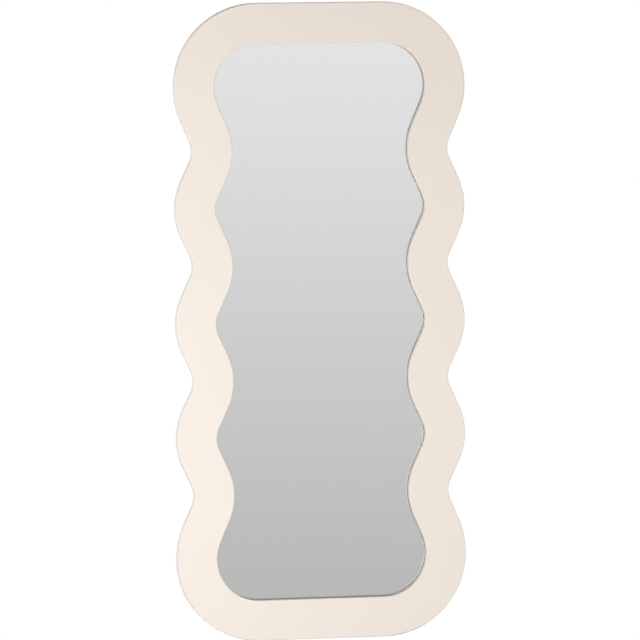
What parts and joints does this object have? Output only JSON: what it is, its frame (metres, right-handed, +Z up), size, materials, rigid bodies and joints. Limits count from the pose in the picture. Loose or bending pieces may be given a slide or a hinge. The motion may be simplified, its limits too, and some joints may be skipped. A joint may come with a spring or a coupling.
{
  "type": "wavy mirror",
  "caption": "Tall wall mirror in a flat cream frame with wavy long sides, straight ends and round corners; wire rings on the back hang it upright or on its side.",
  "frame": {"origin": "middle of the mirror on the wall's surface, which the four pads touch", "axes": "+X to the right seen from the front, +Y out of the back towards the wall, +Z up along the long sides"},
  "size_m": [0.7614, 0.033, 1.65],
  "materials": {
    "cream_lacquer": "satin cream lacquer on fibreboard",
    "mirror_glass": "polished silvered float glass",
    "silver_film": "silver with grey protective film behind",
    "foam_tape": "closed-cell foam",
    "block_rubber": "matt",
    "packing_felt": "pressed felt",
    "hardboard": "bare hardboard",
    "zinc_plated_steel": "zinc plated",
    "nickel_plated_wire": "nickel plated",
    "pad_rubber": "matt black"
  },
  "bodies": {
    "mirror": {"frame_ring": "cream_lacquer", "mirror_glass": "mirror_glass", "silver_backing": "silver_film", "glass_seating_tape": "foam_tape", "setting_blocks": "block_rubber", "backing_board": "hardboard", "backing_screws": "zinc_plated_steel", "hanger_screws": "zinc_plated_steel", "wall_pad_screws": "zinc_plated_steel", "hanger_rivets": "zinc_plated_steel", "packing_strip_left": "packing_felt", "packing_strip_right": "packing_felt", "packing_strip_top": "packing_felt", "packing_strip_bottom": "packing_felt", "packing_strip_middle": "packing_felt", "wall_pad_upper_left": "pad_rubber", "wall_pad_upper_right": "pad_rubber", "wall_pad_lower_left": "pad_rubber", "wall_pad_lower_right": "pad_rubber", "hanger_strap_upper_left": "zinc_plated_steel", "hanger_strap_upper_right": "zinc_plated_steel", "hanger_strap_side_top": "zinc_plated_steel", "hanger_strap_side_bottom": "zinc_plated_steel"},
    "hanger_ring_upper_left": {"hanger_ring_upper_left": "nickel_plated_wire"},
    "hanger_ring_upper_right": {"hanger_ring_upper_right": "nickel_plated_wire"},
    "hanger_ring_side_top": {"hanger_ring_side_top": "nickel_plated_wire"},
    "hanger_ring_side_bottom": {"hanger_ring_side_bottom": "nickel_plated_wire"}
  },
  "joints": [
    {"name": "swing_upper_left", "type": "hinge", "parent": "mirror", "child": "hanger_ring_upper_left", "pos_m": [-0.3286, -0.00497, 0.65035], "axis": [1, 0, 0], "range_deg": [0, 178.28]},
    {"name": "swing_upper_right", "type": "hinge", "parent": "mirror", "child": "hanger_ring_upper_right", "pos_m": [0.3286, -0.00497, 0.65035], "axis": [1, 0, 0], "range_deg": [0, 178.28]},
    {"name": "swing_side_top", "type": "hinge", "parent": "mirror", "child": "hanger_ring_side_top", "pos_m": [-0.35005, -0.00497, 0.29682], "axis": [0, 0, 1], "range_deg": [0, 178.28]},
    {"name": "swing_side_bottom", "type": "hinge", "parent": "mirror", "child": "hanger_ring_side_bottom", "pos_m": [-0.35005, -0.00497, -0.29682], "axis": [0, 0, 1], "range_deg": [0, 178.28]}
  ]
}
